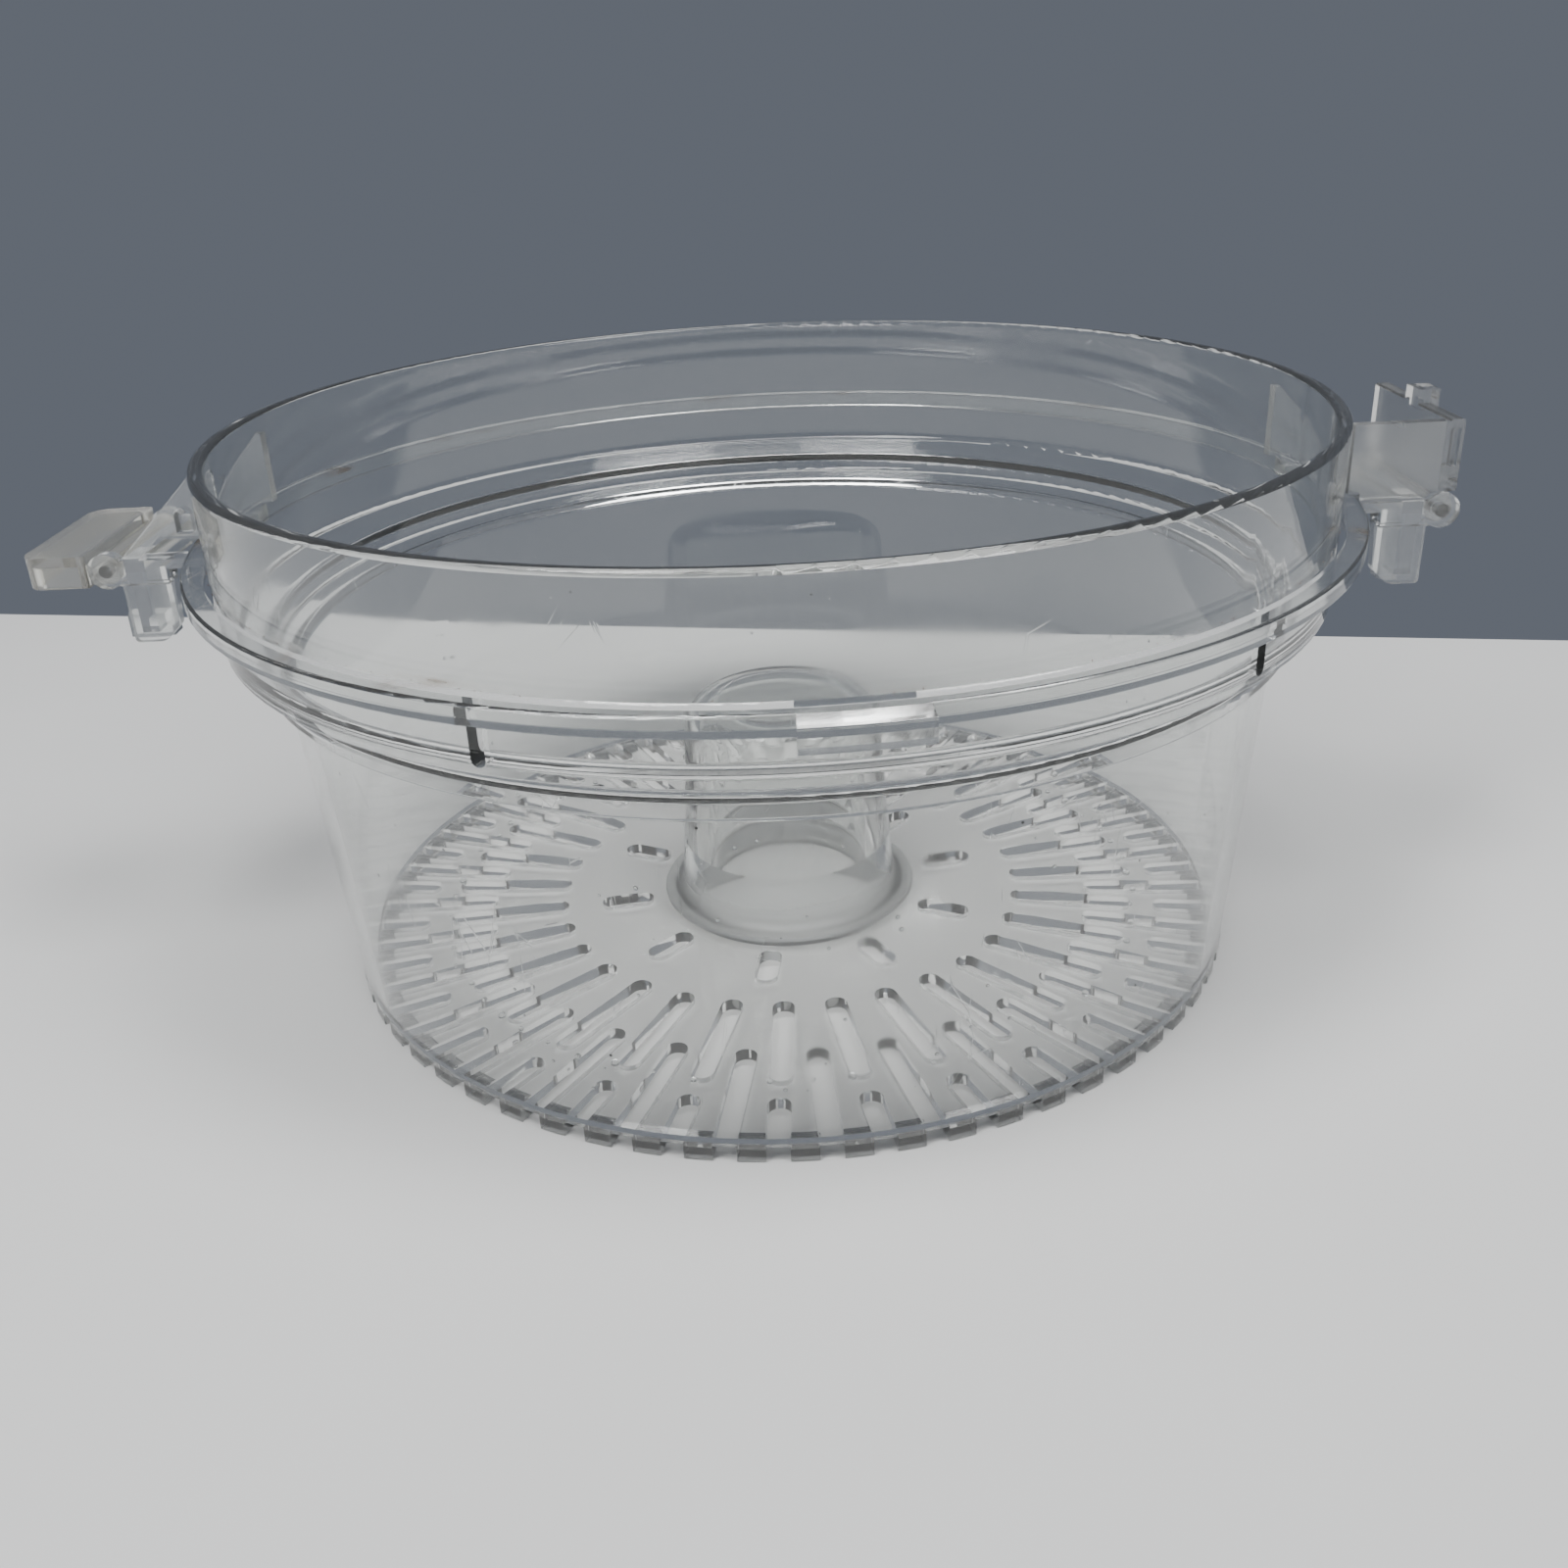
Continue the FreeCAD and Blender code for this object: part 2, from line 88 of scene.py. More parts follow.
class Graph:
    """Thin helper that adds and links nodes in one node tree."""

    def __init__(self, tree: bpy.types.NodeTree) -> None:
        """Keep the tree that nodes go into.

        Args:
            tree: A shader or geometry node tree.
        """
        self.tree = tree

    def add(self, kind: str, **settings: object) -> bpy.types.Node:
        """Add a node and set its properties.

        Args:
            kind: Blender's identifier of the node type.
            settings: Properties to set on the node.

        Returns:
            The new node.
        """
        node = self.tree.nodes.new(kind)
        for name, value in settings.items():
            setattr(node, name, value)
        return node

    def first(self, kind: str) -> bpy.types.Node:
        """Find the first node of a type.

        Args:
            kind: The node's type.

        Returns:
            That node.
        """
        return next(node for node in self.tree.nodes if node.type == kind)

    def link(self, source: bpy.types.NodeSocket, target: bpy.types.NodeSocket) -> None:
        """Join an output to an input."""
        self.tree.links.new(source, target)

    def feed(self, socket: bpy.types.NodeSocket, value: object) -> None:
        """Give a socket either a link or a plain value.

        Args:
            socket: The input socket.
            value: An output socket, a number or a tuple.
        """
        if isinstance(value, bpy.types.NodeSocket):
            self.link(value, socket)
        else:
            socket.default_value = value

    def math(self, operation: str, *values: object, clamp: bool = False) -> bpy.types.NodeSocket:
        """Add a math node.

        Args:
            operation: The math operation's identifier.
            values: Numbers or sockets, in input order.
            clamp: Keep the result between 0 and 1.

        Returns:
            The result socket.
        """
        node = self.add("ShaderNodeMath", operation=operation, use_clamp=clamp)
        for socket, value in zip(node.inputs, values):
            self.feed(socket, value)
        return node.outputs[0]

    def remap(self, value: object, low: float, high: float, to_low: float = 0.0,
              to_high: float = 1.0) -> bpy.types.NodeSocket:
        """Map a range smoothly onto another.

        Args:
            value: Socket to map.
            low: Input that gives to_low.
            high: Input that gives to_high.
            to_low: Output at low.
            to_high: Output at high.

        Returns:
            The mapped socket.
        """
        node = self.add("ShaderNodeMapRange", interpolation_type="SMOOTHSTEP")
        for name, item in (("Value", value), ("From Min", low), ("From Max", high),
                           ("To Min", to_low), ("To Max", to_high)):
            self.feed(node.inputs[name], item)
        return node.outputs["Result"]


@dataclass(frozen=True)
class ClearPlastic:
    """Clear moulded plastic with haze, handling marks, scratches and an optional dirty band.

    Attributes:
        name: Material name.
        tint: Colour of the plastic.
        ior: Refractive index.
        haze: Roughness of clean plastic.
        smudge: Roughness added where it has been handled.
        ripple_mm: Depth of the moulding's slow waves.
        scratch_mm: Depth of the fine scratches.
        milk: Share of light that the plastic scatters instead of passing.
        frost_top: Height in metres below which the surface turns softer, or None.
        dirt_height: Height of a dirty band in metres, or None.
        dirt_width: Half height of that band in metres.
        dirt_colour: Colour of the dirt.
    """

    name: str
    tint: tuple[float, float, float] = (0.955, 0.965, 0.955)
    ior: float = 1.5
    haze: float = 0.015
    smudge: float = 0.07
    ripple_mm: float = 0.05
    scratch_mm: float = 0.007
    milk: float = 0.0
    frost_top: float | None = None
    dirt_height: float | None = None
    dirt_width: float = 0.0007
    dirt_colour: tuple[float, float, float] = (0.5, 0.33, 0.2)

    def noise(self, graph: Graph, coords: bpy.types.NodeSocket, scale: float, detail: float,
              stretch: tuple[float, float, float] = (1.0, 1.0, 1.0)) -> bpy.types.NodeSocket:
        """Noise on stretched object coordinates.

        Args:
            graph: Graph of the material.
            coords: Object coordinates.
            scale: Noise scale per metre.
            detail: Octaves.
            stretch: Factor on each axis.

        Returns:
            The noise factor socket.
        """
        place = graph.add("ShaderNodeMapping")
        graph.link(coords, place.inputs["Vector"])
        place.inputs["Scale"].default_value = stretch
        node = graph.add("ShaderNodeTexNoise")
        graph.link(place.outputs["Vector"], node.inputs["Vector"])
        node.inputs["Scale"].default_value = scale
        node.inputs["Detail"].default_value = detail
        return node.outputs[0]

    def scratches(self, graph: Graph, coords: bpy.types.NodeSocket) -> bpy.types.NodeSocket:
        """Thin broken lines in two directions.

        Args:
            graph: Graph of the material.
            coords: Object coordinates.

        Returns:
            A mask that is 1 on a scratch.
        """
        layers = []
        for turn, scale in ((0.5, 130.0), (-0.9, 190.0)):
            place = graph.add("ShaderNodeMapping")
            graph.link(coords, place.inputs["Vector"])
            place.inputs["Rotation"].default_value = (turn, turn / 2, 0.3)
            place.inputs["Scale"].default_value = (1.0, 0.4, 0.3)
            cells = graph.add("ShaderNodeTexVoronoi", feature="DISTANCE_TO_EDGE")
            graph.link(place.outputs["Vector"], cells.inputs["Vector"])
            cells.inputs["Scale"].default_value = scale
            line = graph.remap(cells.outputs["Distance"], 0.0, 0.009, 1.0, 0.0)
            broken = graph.remap(self.noise(graph, coords, scale * 0.5, 2.0), 0.6, 0.7)
            layers.append(graph.math("MULTIPLY", line, broken))
        return graph.math("MAXIMUM", *layers)

    def dirt(self, graph: Graph, coords: bpy.types.NodeSocket) -> bpy.types.NodeSocket:
        """Patchy dirt that has gathered at one height.

        Args:
            graph: Graph of the material.
            coords: Object coordinates.

        Returns:
            A mask that is 1 on the dirt.
        """
        split = graph.add("ShaderNodeSeparateXYZ")
        graph.link(coords, split.inputs[0])
        away = graph.math("ABSOLUTE", graph.math("SUBTRACT", split.outputs["Z"], self.dirt_height))
        band = graph.remap(away, 0.0, self.dirt_width, 1.0, 0.0)
        patches = graph.remap(self.noise(graph, coords, 60.0, 9.0), 0.57, 0.8)
        return graph.math("MULTIPLY", band, patches, clamp=True)

    def build(self) -> bpy.types.Material:
        """Make the material.

        Returns:
            The finished material.
        """
        material = bpy.data.materials.new(self.name)
        material.use_nodes = True
        graph = Graph(material.node_tree)
        shader = graph.first("BSDF_PRINCIPLED")
        coords = graph.add("ShaderNodeTexCoord").outputs["Object"]
        handled = graph.remap(self.noise(graph, coords, 34.0, 5.0), 0.48, 0.72)
        scratched = self.scratches(graph, coords)
        rough = graph.math("ADD", self.haze, graph.math("MULTIPLY", handled, self.smudge))
        rough = graph.math("ADD", rough, graph.math("MULTIPLY", scratched, 0.16))
        if self.frost_top is not None:
            split = graph.add("ShaderNodeSeparateXYZ")
            graph.link(coords, split.inputs[0])
            frost = graph.remap(split.outputs["Z"], self.frost_top / 2, self.frost_top, 0.38, 0.0)
            rough = graph.math("ADD", rough, frost)
        uneven = graph.add("ShaderNodeMix", data_type="RGBA")
        graph.link(self.noise(graph, coords, 18.0, 3.0), uneven.inputs["Factor"])
        uneven.inputs["A"].default_value = (*self.tint, 1.0)
        uneven.inputs["B"].default_value = (*(min(1.0, c * 1.03) for c in self.tint), 1.0)
        colour = uneven.outputs["Result"]
        if self.dirt_height is not None:
            mask = self.dirt(graph, coords)
            stain = graph.add("ShaderNodeMix", data_type="RGBA")
            graph.link(mask, stain.inputs["Factor"])
            graph.link(colour, stain.inputs["A"])
            stain.inputs["B"].default_value = (*self.dirt_colour, 1.0)
            colour = stain.outputs["Result"]
            rough = graph.math("ADD", rough, graph.math("MULTIPLY", mask, 0.45))
        graph.link(colour, shader.inputs["Base Color"])
        graph.link(graph.math("MINIMUM", rough, 0.9), shader.inputs["Roughness"])
        height = graph.math("MULTIPLY", self.noise(graph, coords, 42.0, 2.0, (1, 1, 0.6)), self.ripple_mm)
        height = graph.math("SUBTRACT", height, graph.math("MULTIPLY", scratched, self.scratch_mm))
        bump = graph.add("ShaderNodeBump")
        bump.inputs["Distance"].default_value = MM
        bump.inputs["Strength"].default_value = 0.6
        graph.link(height, bump.inputs["Height"])
        graph.link(bump.outputs["Normal"], shader.inputs["Normal"])
        shader.inputs["IOR"].default_value = self.ior
        shader.inputs["Transmission Weight"].default_value = 1.0 - self.milk
        return material


@dataclass(frozen=True)
class Grime:
    """Opaque or watery speck material.

    Attributes:
        kind: What the speck is made of.
        colour: Its colour.
        clear: True for a droplet.
    """

    kind: Speck
    colour: tuple[float, float, float]
    clear: bool = False

    def build(self) -> bpy.types.Material:
        """Make the material, mottled by a fine noise.

        Returns:
            The finished material.
        """
        material = bpy.data.materials.new("speck_" + self.kind.value)
        material.use_nodes = True
        graph = Graph(material.node_tree)
        shader = graph.first("BSDF_PRINCIPLED")
        coords = graph.add("ShaderNodeTexCoord").outputs["Object"]
        noise = graph.add("ShaderNodeTexNoise")
        noise.inputs["Scale"].default_value = 900.0
        graph.link(coords, noise.inputs["Vector"])
        mottle = graph.add("ShaderNodeMix", data_type="RGBA")
        graph.link(noise.outputs[0], mottle.inputs["Factor"])
        mottle.inputs["A"].default_value = (*self.colour, 1.0)
        shade = 1.0 if self.clear else 0.6
        mottle.inputs["B"].default_value = (*(c * shade for c in self.colour), 1.0)
        if self.clear:
            shader.inputs["Transmission Weight"].default_value = 1.0
            shader.inputs["IOR"].default_value = 1.4
        graph.link(mottle.outputs["Result"], shader.inputs["Base Color"])
        smoothest, roughest = (0.03, 0.08) if self.clear else (0.6, 0.9)
        rough = graph.remap(noise.outputs[0], 0.3, 0.7, smoothest, roughest)
        graph.link(rough, shader.inputs["Roughness"])
        return material


@dataclass
class RingOfSpecks:
    """Specks in a ring around the bowl's axis, made by Geometry Nodes.

    Attributes:
        name: Name of the piece.
        count: Places around the ring.
        radius: Ring radius in metres.
        height: Ring height in metres.
        size: Speck radius in metres.
        phase: Angle of the first place in radians.
        spread: Largest random offset on each axis in metres.
        keep: Share of places that hold a speck.
        seed: Seed of the random values.
    """

    name: str
    count: int
    radius: float
    height: float
    size: float
    phase: float = 0.0
    spread: tuple[float, float, float] = (0.0, 0.0, 0.0)
    keep: float = 1.0
    seed: int = 1

    def tree(self, material: bpy.types.Material) -> tuple[bpy.types.NodeTree, dict[str, str]]:
        """Build the tree.

        Args:
            material: Material of the specks.

        Returns:
            The tree, and the identifier of each named input.
        """
        tree = bpy.data.node_groups.new(self.name, "GeometryNodeTree")
        ids = {}
        for label, kind in (("Count", "Int"), ("Radius", "Float"), ("Height", "Float"),
                            ("Size", "Float"), ("Phase", "Float"), ("Keep", "Float")):
            socket = tree.interface.new_socket(name=label, in_out="INPUT", socket_type="NodeSocket" + kind)
            ids[label] = socket.identifier
        tree.interface.new_socket(name="Geometry", in_out="OUTPUT", socket_type="NodeSocketGeometry")
        graph = Graph(tree)
        start = graph.add("NodeGroupInput")
        ring = graph.add("GeometryNodeMeshCircle")
        graph.link(start.outputs["Count"], ring.inputs["Vertices"])
        graph.link(start.outputs["Radius"], ring.inputs["Radius"])
        turn = graph.add("ShaderNodeCombineXYZ")
        graph.link(start.outputs["Phase"], turn.inputs["Z"])
        lift = graph.add("ShaderNodeCombineXYZ")
        graph.link(start.outputs["Height"], lift.inputs["Z"])
        place = graph.add("GeometryNodeTransform")
        graph.link(ring.outputs["Mesh"], place.inputs["Geometry"])
        graph.link(lift.outputs[0], place.inputs["Translation"])
        graph.link(turn.outputs[0], place.inputs["Rotation"])
        offset = graph.add("FunctionNodeRandomValue", data_type="FLOAT_VECTOR")
        offset.inputs["Min"].default_value = tuple(-s for s in self.spread)
        offset.inputs["Max"].default_value = self.spread
        offset.inputs["Seed"].default_value = self.seed
        move = graph.add("GeometryNodeSetPosition")
        graph.link(place.outputs["Geometry"], move.inputs["Geometry"])
        graph.link(offset.outputs["Value"], move.inputs["Offset"])
        chance = graph.add("FunctionNodeRandomValue", data_type="BOOLEAN")
        chance.inputs["Seed"].default_value = self.seed + 1
        graph.link(start.outputs["Keep"], chance.inputs["Probability"])
        vary = graph.add("FunctionNodeRandomValue", data_type="FLOAT")
        vary.inputs[2].default_value = 0.45
        vary.inputs[3].default_value = 1.0
        vary.inputs["Seed"].default_value = self.seed + 2
        ball = graph.add("GeometryNodeMeshIcoSphere")
        ball.inputs["Subdivisions"].default_value = 2
        graph.link(start.outputs["Size"], ball.inputs["Radius"])
        copies = graph.add("GeometryNodeInstanceOnPoints")
        graph.link(move.outputs["Geometry"], copies.inputs["Points"])
        graph.link(chance.outputs[3], copies.inputs["Selection"])
        graph.link(ball.outputs["Mesh"], copies.inputs["Instance"])
        graph.link(vary.outputs[1], copies.inputs["Scale"])
        finish_tree(graph, copies.outputs["Instances"], material)
        return tree, ids

    def build(self, material: bpy.types.Material, body: str) -> bpy.types.Object:
        """Make the specks as one plain mesh that rides on a body.

        Args:
            material: Material of the specks.
            body: Body the specks are stuck to.

        Returns:
            The finished piece.
        """
        tree, ids = self.tree(material)
        values = {"Count": self.count, "Radius": self.radius, "Height": self.height,
                  "Size": self.size, "Phase": self.phase, "Keep": self.keep}
        return bake_tree(self.name, tree, {ids[k]: v for k, v in values.items()}, material, body)


@dataclass
class WallSpecks:
    """Specks scattered over the tapered wall, made by Geometry Nodes.

    Attributes:
        name: Name of the piece.
        foot_radius: Outer radius at the lower end in metres.
        top_radius: Outer radius at the upper end in metres.
        low: Lower end in metres.
        high: Upper end in metres.
        density: Specks per square metre.
        size: Largest speck radius in metres.
        flatness: Height of a speck as a share of its width.
        seed: Seed of the scatter.
    """

    name: str
    foot_radius: float
    top_radius: float
    low: float
    high: float
    density: float
    size: float
    flatness: float = 0.35
    seed: int = 5

    def build(self, material: bpy.types.Material, body: str) -> bpy.types.Object:
        """Make the specks as one plain mesh that rides on a body.

        Args:
            material: Material of the specks.
            body: Body the specks are stuck to.

        Returns:
            The finished piece.
        """
        tree = bpy.data.node_groups.new(self.name, "GeometryNodeTree")
        ids = {}
        for label in ("Density", "Size", "Flatness"):
            socket = tree.interface.new_socket(name=label, in_out="INPUT", socket_type="NodeSocketFloat")
            ids[label] = socket.identifier
        tree.interface.new_socket(name="Geometry", in_out="OUTPUT", socket_type="NodeSocketGeometry")
        graph = Graph(tree)
        start = graph.add("NodeGroupInput")
        wall = graph.add("GeometryNodeMeshCone", fill_type="NONE")
        wall.inputs["Vertices"].default_value = 192
        wall.inputs["Radius Top"].default_value = self.top_radius
        wall.inputs["Radius Bottom"].default_value = self.foot_radius
        wall.inputs["Depth"].default_value = self.high - self.low
        place = graph.add("GeometryNodeTransform")
        place.inputs["Translation"].default_value = (0.0, 0.0, self.low)
        graph.link(wall.outputs["Mesh"], place.inputs["Geometry"])
        points = graph.add("GeometryNodeDistributePointsOnFaces")
        points.inputs["Seed"].default_value = self.seed
        graph.link(place.outputs["Geometry"], points.inputs["Mesh"])
        graph.link(start.outputs["Density"], points.inputs["Density"])
        squash = graph.add("ShaderNodeCombineXYZ")
        squash.inputs["X"].default_value = 1.0
        squash.inputs["Y"].default_value = 1.0
        graph.link(start.outputs["Flatness"], squash.inputs["Z"])
        ball = graph.add("GeometryNodeMeshIcoSphere")
        ball.inputs["Subdivisions"].default_value = 2
        graph.link(start.outputs["Size"], ball.inputs["Radius"])
        flat = graph.add("GeometryNodeTransform")
        graph.link(ball.outputs["Mesh"], flat.inputs["Geometry"])
        graph.link(squash.outputs[0], flat.inputs["Scale"])
        vary = graph.add("FunctionNodeRandomValue", data_type="FLOAT")
        vary.inputs[2].default_value = 0.25
        vary.inputs[3].default_value = 1.0
        vary.inputs["Seed"].default_value = self.seed + 1
        copies = graph.add("GeometryNodeInstanceOnPoints")
        graph.link(points.outputs["Points"], copies.inputs["Points"])
        graph.link(points.outputs["Rotation"], copies.inputs["Rotation"])
        graph.link(flat.outputs["Geometry"], copies.inputs["Instance"])
        graph.link(vary.outputs[1], copies.inputs["Scale"])
        finish_tree(graph, copies.outputs["Instances"], material)
        values = {"Density": self.density, "Size": self.size, "Flatness": self.flatness}
        return bake_tree(self.name, tree, {ids[k]: v for k, v in values.items()}, material, body)


def finish_tree(graph: Graph, instances: bpy.types.NodeSocket, material: bpy.types.Material) -> None:
    """End a tree in real, smooth geometry with its material.

    Args:
        graph: Graph of the tree.
        instances: Socket that gives the instances.
        material: Material to set.
    """
    real = graph.add("GeometryNodeRealizeInstances")
    graph.link(instances, real.inputs["Geometry"])
    smooth = graph.add("GeometryNodeSetShadeSmooth", domain="FACE")
    graph.link(real.outputs["Geometry"], smooth.inputs["Geometry"])
    paint = graph.add("GeometryNodeSetMaterial")
    paint.inputs["Material"].default_value = material
    graph.link(smooth.outputs["Geometry"], paint.inputs["Geometry"])
    end = graph.add("NodeGroupOutput")
    graph.link(paint.outputs["Geometry"], end.inputs["Geometry"])


def bake_tree(name: str, tree: bpy.types.NodeTree, values: dict[str, object],
              material: bpy.types.Material, body: str) -> bpy.types.Object:
    """Run a tree and keep its result as a plain mesh.

    Args:
        name: Name of the piece.
        tree: Geometry Nodes tree.
        values: Input values by socket identifier.
        material: Material of the piece.
        body: Body the piece rides on.

    Returns:
        The finished piece.
    """
    maker = bpy.data.objects.new(name + "_maker", bpy.data.meshes.new(name + "_maker"))
    bpy.context.scene.collection.objects.link(maker)
    modifier = maker.modifiers.new(name, "NODES")
    modifier.node_group = tree
    for key, value in values.items():
        modifier[key] = value
    bpy.context.view_layer.update()
    seen = maker.evaluated_get(bpy.context.evaluated_depsgraph_get())
    mesh = bpy.data.meshes.new_from_object(seen)
    bpy.data.objects.remove(maker)
    mesh.name = name
    if not mesh.materials:
        mesh.materials.append(material)
    piece = bpy.data.objects.new(name, mesh)
    bpy.context.scene.collection.objects.link(piece)
    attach(piece, body)
    LOG.info("%s: %d faces on %s", name, len(mesh.polygons), body)
    return piece


def dress(node: bpy.types.Object, material: bpy.types.Material) -> None:
    """Give a node its finish.  Its packed normals already follow the true round faces.

    Args:
        node: The node's object.
        material: Its material.
    """
    if not node.material_slots:
        node.data.materials.append(material)
    for slot in node.material_slots:
        slot.link = "OBJECT"
        slot.material = material
    LOG.info("%s dressed in %s", node.name, material.name)


@dataclass
class Bowl:
    """Wall, lip, floor, foot and column, with what has gathered on them.

    Attributes:
        drains: Drain openings around the foot.
        first_drain: Angle of one drain in degrees.
        bead_shift: Angle from a drain's middle to its corner in degrees.
        bead_size: Radius of a corner bead in metres.
        bead_inset: Distance from the floor's edge to the corner beads in metres.
        slot_bead_size: Radius of a bead at a slot's end in metres.
        slot_end: Distance from the floor's edge to where the middle slots end, in metres.
        lift: Height of a speck's middle over its surface in metres.
        body_share: Share of the wall's height that the tapered body takes up.
        taper: Growth of the body's radius from foot to top in metres.
    """

    drains: int = 64
    first_drain: float = -92.47
    bead_shift: float = -1.35
    bead_size: float = 0.42 * MM
    bead_inset: float = 0.6 * MM
    slot_bead_size: float = 0.85 * MM
    slot_end: float = 15.3 * MM
    lift: float = 0.1 * MM
    body_share: float = 0.6
    taper: float = 4.2 * MM

    def build(self, nodes: dict[str, bpy.types.Object]) -> None:
        """Dress the nodes and add the specks.

        Args:
            nodes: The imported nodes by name.
        """
        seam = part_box("flange_ring")[1][2]
        wall = ClearPlastic("clear_wall", dirt_height=seam, ripple_mm=0.02, milk=0.018).build()
        lip = ClearPlastic("clear_lip", dirt_height=seam, dirt_width=0.0005, ripple_mm=0.012,
                           milk=0.018).build()
        floor = ClearPlastic("clear_floor", tint=(0.97, 0.975, 0.965), ripple_mm=0.02, smudge=0.07).build()
        foot = ClearPlastic("clear_foot", tint=(0.95, 0.955, 0.94), haze=0.05, smudge=0.14, milk=0.08).build()
        column = ClearPlastic("clear_column", ripple_mm=0.012, smudge=0.1, milk=0.02,
                              frost_top=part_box("floor_grid")[1][2] + 7 * MM).build()
        for name, material in (("bowl_wall", wall), ("flange_ring", lip), ("floor_grid", floor),
                               ("foot_ring", foot), ("centre_column", column)):
            dress(nodes[name], material)
        self.add_specks(seam)

    def add_specks(self, seam: float) -> None:
        """Add beads, rust along the seam, soot and droplets.

        Args:
            seam: Height of the seam between collar and lip in metres.
        """
        rust = Grime(Speck.RUST, (0.16, 0.075, 0.035)).build()
        soot = Grime(Speck.SOOT, (0.02, 0.018, 0.016)).build()
        water = Grime(Speck.DROPLET, (0.97, 0.98, 0.98), clear=True).build()
        floor_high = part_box("floor_grid")[1]
        wall_low, wall_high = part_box("bowl_wall")
        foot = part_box("foot_ring")[1][0]
        first = math.radians(self.first_drain + self.bead_shift)
        on_floor = floor_high[2] + self.lift
        RingOfSpecks("corner_beads", self.drains, floor_high[0] - self.bead_inset, on_floor,
                     self.bead_size, phase=first, seed=3).build(water, BOWL_BODY)
        RingOfSpecks("slot_end_beads", self.drains, floor_high[0] - self.slot_end, on_floor,
                     self.slot_bead_size, phase=first, spread=(0.7 * MM, 0.7 * MM, 0.0), keep=0.8,
                     seed=41).build(water, BOWL_BODY)
        RingOfSpecks("seam_rust", 900, wall_high[0] + self.lift, seam + self.lift, 0.11 * MM,
                     spread=(0.35 * MM, 0.35 * MM, 0.12 * MM), keep=0.2, seed=11).build(rust, BOWL_BODY)
        body_top = wall_low[2] + self.body_share * (wall_high[2] - wall_low[2])
        taper = foot + self.taper
        WallSpecks("wall_soot", foot, taper, wall_low[2] + 4 * MM, body_top, 420.0, 0.32 * MM,
                   seed=21).build(soot, BOWL_BODY)
        WallSpecks("wall_droplets", foot, taper, wall_low[2] + 2 * MM, body_top, 5200.0, 0.42 * MM,
                   seed=31).build(water, BOWL_BODY)


@dataclass
class ClipSet:
    """One bracket with its pin and its clip.

    Attributes:
        side: Side of the bowl.
        clip_tint: Colour of the clip's plastic.
        milk: Milkiness of the clip's plastic.
    """

    side: Side
    clip_tint: tuple[float, float, float]
    milk: float

    def build(self, nodes: dict[str, bpy.types.Object]) -> None:
        """Dress the bracket, pin and clip.

        Args:
            nodes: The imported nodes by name.
        """
        side = self.side.value
        frame = ClearPlastic(side + "_bracket_plastic", haze=0.06, smudge=0.16, ripple_mm=0.02,
                             milk=0.06).build()
        clip = ClearPlastic(side + "_clip_plastic", tint=self.clip_tint, haze=0.07, smudge=0.16,
                            ripple_mm=0.02, milk=self.milk).build()
        dress(nodes[side + "_bracket"], frame)
        dress(nodes[side + "_hinge_pin"], frame)
        dress(nodes[side + "_clip"], clip)


@dataclass(frozen=True)
class Lamp:
    """A soft rectangular light aimed at the bowl.

    Attributes:
        name: Name of the light.
        place: Its place in metres.
        size: Width and height in metres.
        watts: Its power.
    """

    name: str
    place: tuple[float, float, float]
    size: tuple[float, float]
    watts: float

    def build(self) -> None:
        """Add the light to the scene."""
        data = bpy.data.lights.new(self.name, "AREA")
        data.shape = "RECTANGLE"
        data.size, data.size_y = self.size
        data.energy = self.watts
        lamp = bpy.data.objects.new(self.name, data)
        lamp.location = self.place
        aim = Vector(LIGHT_TARGET) - Vector(self.place)
        lamp.rotation_euler = aim.to_track_quat("-Z", "Y").to_euler()
        bpy.context.scene.collection.objects.link(lamp)


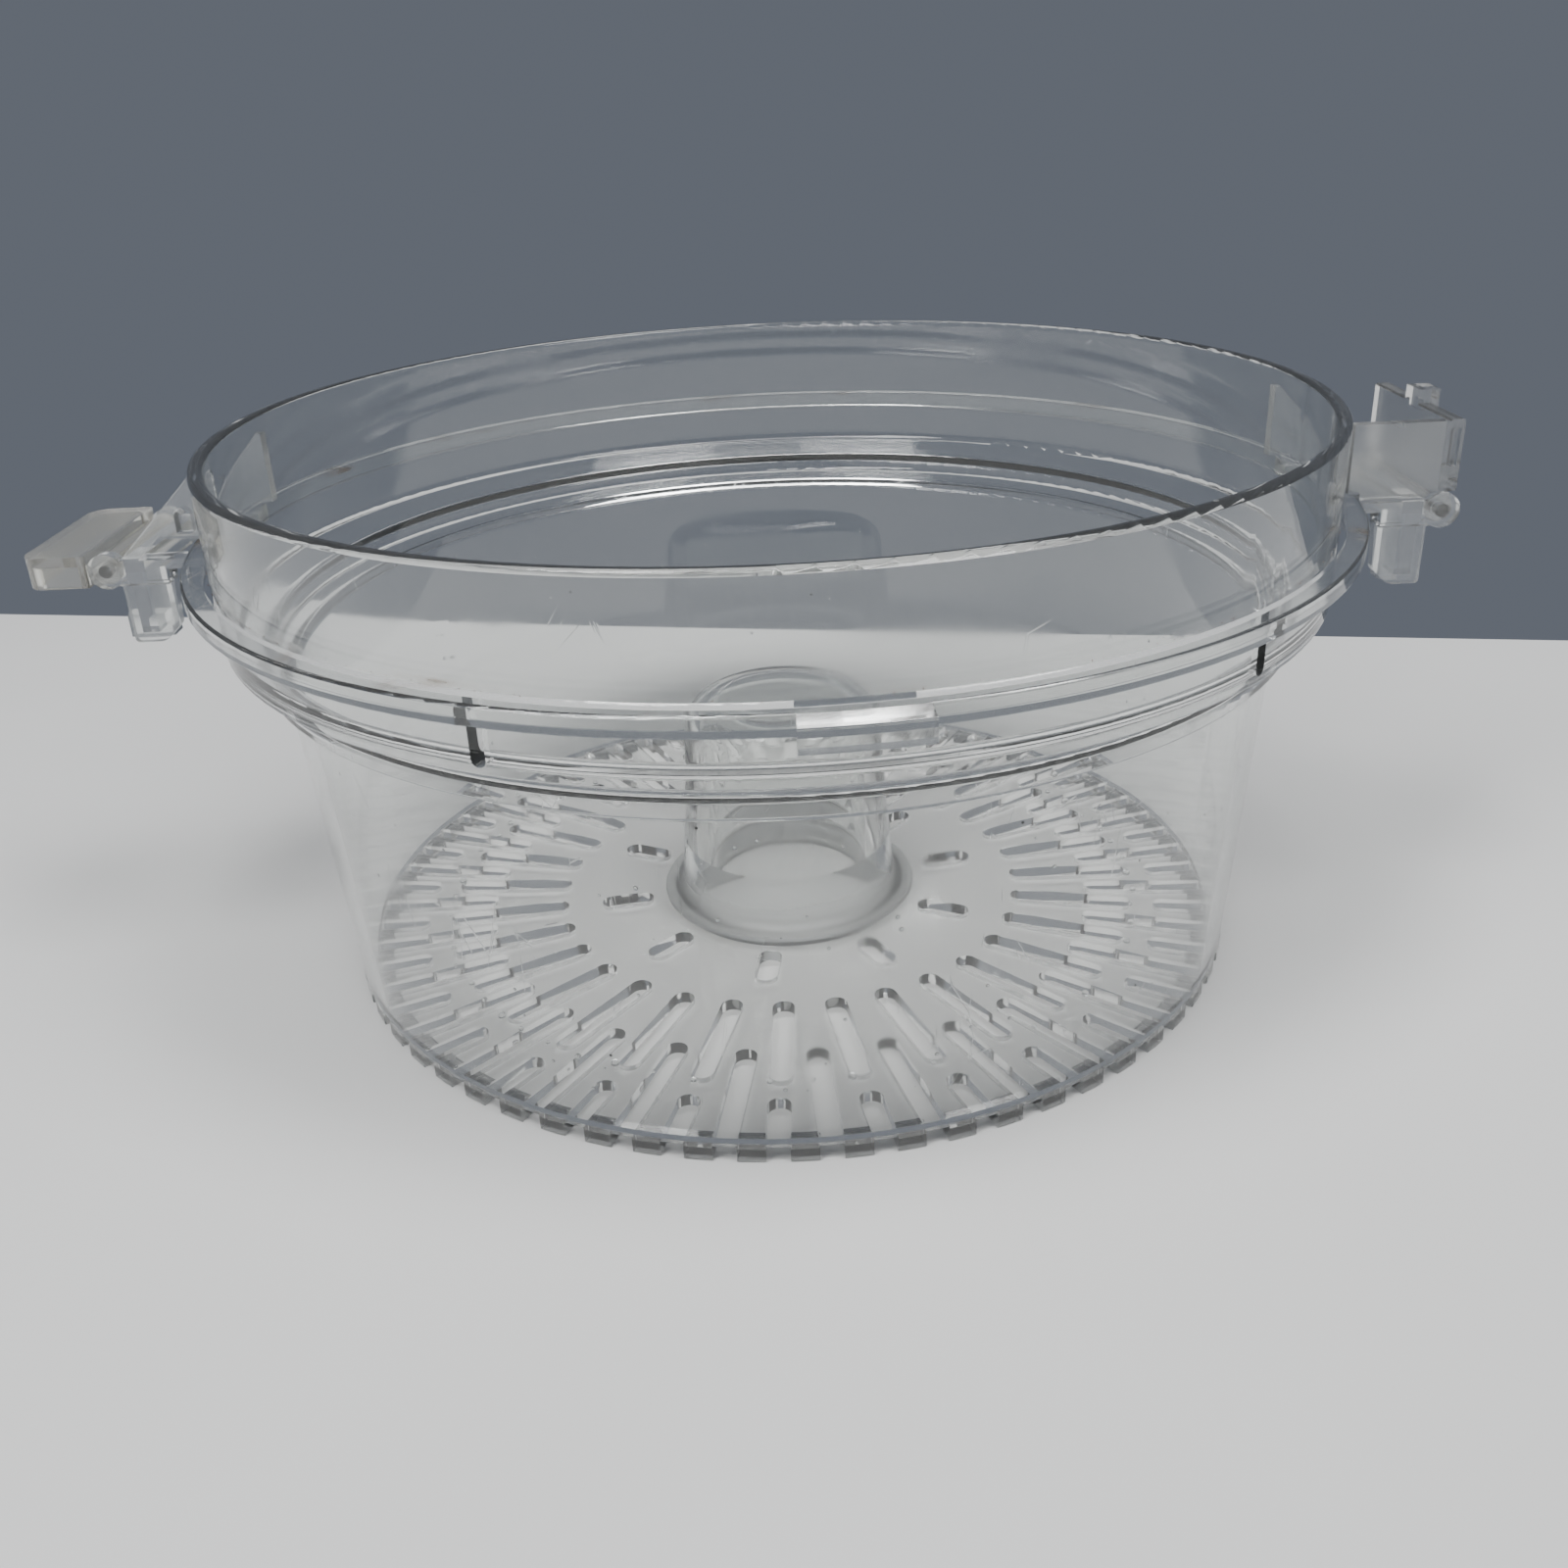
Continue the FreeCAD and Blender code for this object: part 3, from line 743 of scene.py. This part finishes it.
@dataclass
class Studio:
    """Table, lights and camera.

    Attributes:
        eye: Camera place in metres.
        pitch: Angle the camera looks down, in degrees.
        roll: Turn of the camera about its view, in degrees.
        lens: Focal length for a 36 mm sensor.
        table_back: Distance from the axis to the table's back edge in metres.
        table_slant: How far that edge comes forward per metre to the right.
        table_side: Reach of the table on the other sides in metres.
        backdrop: Colour behind the table.
        lamps: The soft lights.
    """

    eye: tuple[float, float, float] = (-0.0002, -0.2867, 0.1619)
    pitch: float = 25.39
    roll: float = 2.66
    lens: float = 34.11
    table_back: float = 0.174
    table_slant: float = 0.19
    table_side: float = 1.2
    backdrop: tuple[float, float, float] = (0.125, 0.14, 0.17)
    lamps: tuple[Lamp, ...] = (
        Lamp("window_left", (-0.45, -0.5, 1.1), (0.35, 0.8), 11.0),
        Lamp("window_right", (0.5, -0.35, 1.1), (0.35, 0.8), 9.0),
        Lamp("overhead", (0.0, -0.35, 1.35), (1.0, 0.5), 8.0),
    )

    def table(self) -> None:
        """Build the pale table top."""
        side = self.table_side
        mesh = bpy.data.meshes.new("table_top")
        slant = self.table_slant * side
        mesh.from_pydata([(-side, -side, 0), (side, -side, 0), (side, self.table_back - slant, 0),
                          (-side, self.table_back + slant, 0)], [], [(0, 1, 2, 3)])
        top = bpy.data.objects.new("table_top", mesh)
        bpy.context.scene.collection.objects.link(top)
        material = bpy.data.materials.new("pale_table")
        material.use_nodes = True
        graph = Graph(material.node_tree)
        shader = graph.first("BSDF_PRINCIPLED")
        noise = graph.add("ShaderNodeTexNoise")
        noise.inputs["Scale"].default_value = 9.0
        graph.link(graph.add("ShaderNodeTexCoord").outputs["Object"], noise.inputs["Vector"])
        mix = graph.add("ShaderNodeMix", data_type="RGBA")
        graph.link(noise.outputs[0], mix.inputs["Factor"])
        mix.inputs["A"].default_value = (0.66, 0.66, 0.65, 1.0)
        mix.inputs["B"].default_value = (0.72, 0.72, 0.71, 1.0)
        graph.link(mix.outputs["Result"], shader.inputs["Base Color"])
        shader.inputs["Roughness"].default_value = 0.85
        mesh.materials.append(material)

    def camera(self) -> None:
        """Add the camera at its measured place."""
        down, turn = math.radians(self.pitch), math.radians(self.roll)
        ahead = Vector((0, math.cos(down), -math.sin(down)))
        over = Vector((0, math.sin(down), math.cos(down)))
        right = Vector((1, 0, 0)) * math.cos(turn) - over * math.sin(turn)
        up = Vector((1, 0, 0)) * math.sin(turn) + over * math.cos(turn)
        data = bpy.data.cameras.new("camera")
        data.lens = self.lens
        data.sensor_width = 36.0
        data.clip_start = 0.01
        view = bpy.data.objects.new("camera", data)
        axes = Matrix((right, up, -ahead)).transposed()
        view.matrix_world = Matrix.Translation(self.eye) @ axes.to_4x4()
        bpy.context.scene.collection.objects.link(view)
        bpy.context.scene.camera = view

    def build(self) -> None:
        """Set up the table, backdrop, lights and camera."""
        self.table()
        world = bpy.data.worlds.new("backdrop")
        world.use_nodes = True
        backdrop = Graph(world.node_tree).first("BACKGROUND")
        backdrop.inputs["Color"].default_value = (*self.backdrop, 1.0)
        bpy.context.scene.world = world
        for lamp in self.lamps:
            lamp.build()
        self.camera()


def main() -> None:
    """Load the frame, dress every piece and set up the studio."""
    logging.basicConfig(level=logging.INFO, format="%(name)s: %(message)s")
    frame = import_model()
    nodes = frame["nodes"]
    Bowl().build(nodes)
    ClipSet(Side.RIGHT, (0.96, 0.96, 0.94), 0.03).build(nodes)
    ClipSet(Side.LEFT, (0.93, 0.915, 0.85), 0.08).build(nodes)
    Studio().build()


if __name__ == "__main__":
    main()
